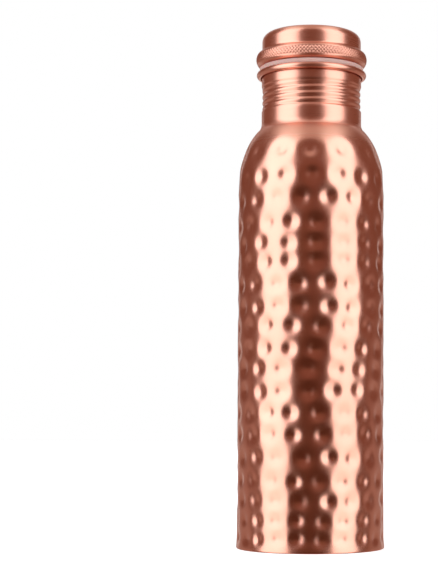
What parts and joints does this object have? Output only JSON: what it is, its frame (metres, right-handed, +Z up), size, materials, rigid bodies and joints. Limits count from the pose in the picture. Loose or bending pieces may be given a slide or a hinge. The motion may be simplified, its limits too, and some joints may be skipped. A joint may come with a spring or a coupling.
{
  "type": "copper water bottle",
  "caption": "Round hammered metal water bottle with a domed shoulder, a rolled screw thread and a flat-topped screw cap with a knurled grip ring.",
  "frame": {"origin": "on the bottle's axis, in the plane that the foot stands on", "axes": "+Z up along the axis towards the cap, -Y towards the viewer of the front, +X to the viewer's right"},
  "size_m": [0.0756, 0.0756, 0.2651],
  "materials": {
    "hammered_copper": "polished satin, hammered",
    "brushed_copper": "finely brushed around the axis",
    "plain_copper": "plain drawn sheet",
    "silicone": "translucent matt"
  },
  "bodies": {
    "bottle": {"body_shell": "hammered_copper", "base_pan": "plain_copper", "neck": "brushed_copper"},
    "gasket": {"gasket": "silicone"},
    "cap": {"cap_shell": "brushed_copper", "thread_plug": "plain_copper", "plug_disc": "plain_copper"}
  },
  "joints": [
    {"name": "cap_rise", "type": "slide", "parent": "bottle", "child": "gasket", "axis": [0, 0, 1], "range_m": [0, 0.0221]},
    {"name": "cap_turn", "type": "hinge", "parent": "gasket", "child": "cap", "pos_m": [0, 0, 0.247], "axis": [0, 0, 1], "range_deg": [0, 2520]}
  ],
  "couplings": [
    {"joint": "cap_rise", "follows": "cap_turn", "m_per_rad": 0.00050134}
  ]
}
